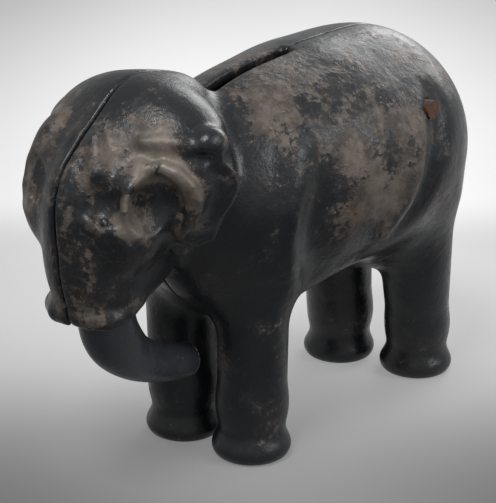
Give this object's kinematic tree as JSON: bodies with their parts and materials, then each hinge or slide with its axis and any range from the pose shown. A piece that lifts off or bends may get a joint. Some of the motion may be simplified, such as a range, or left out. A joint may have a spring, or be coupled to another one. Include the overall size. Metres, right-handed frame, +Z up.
{
  "type": "figural animal coin bank",
  "caption": "Cast iron elephant coin bank in two hollow halves, with a coin slot in the back and a pivoting trunk worked by a lever under the slot.",
  "frame": {"origin": "centre of the bounding box's bottom face, on the plane the four feet stand on", "axes": "+X from head to tail, along the body; +Y to the right flank, across the joint between the halves; +Z up"},
  "size_m": [0.1215, 0.0562, 0.0886],
  "materials": {
    "black_painted_iron": "old semi-gloss black paint over sand-cast iron, worn to brown bare iron on the raised surfaces",
    "black_painted_iron_trunk": "old semi-gloss black paint over sand-cast iron, little worn",
    "bare_steel": "dull drawn wire",
    "rusted_screw": "steel gone brown with age"
  },
  "bodies": {
    "case": {"left_half": "black_painted_iron", "right_half": "black_painted_iron", "trunk_pivot_pin": "bare_steel", "case_screw": "rusted_screw"},
    "trunk": {"trunk": "black_painted_iron_trunk"}
  },
  "joints": [
    {"name": "trunk_swing", "type": "hinge", "parent": "case", "child": "trunk", "pos_m": [-0.038, 0, 0.0584], "axis": [0, 1, 0], "range_deg": [0, 9]}
  ]
}
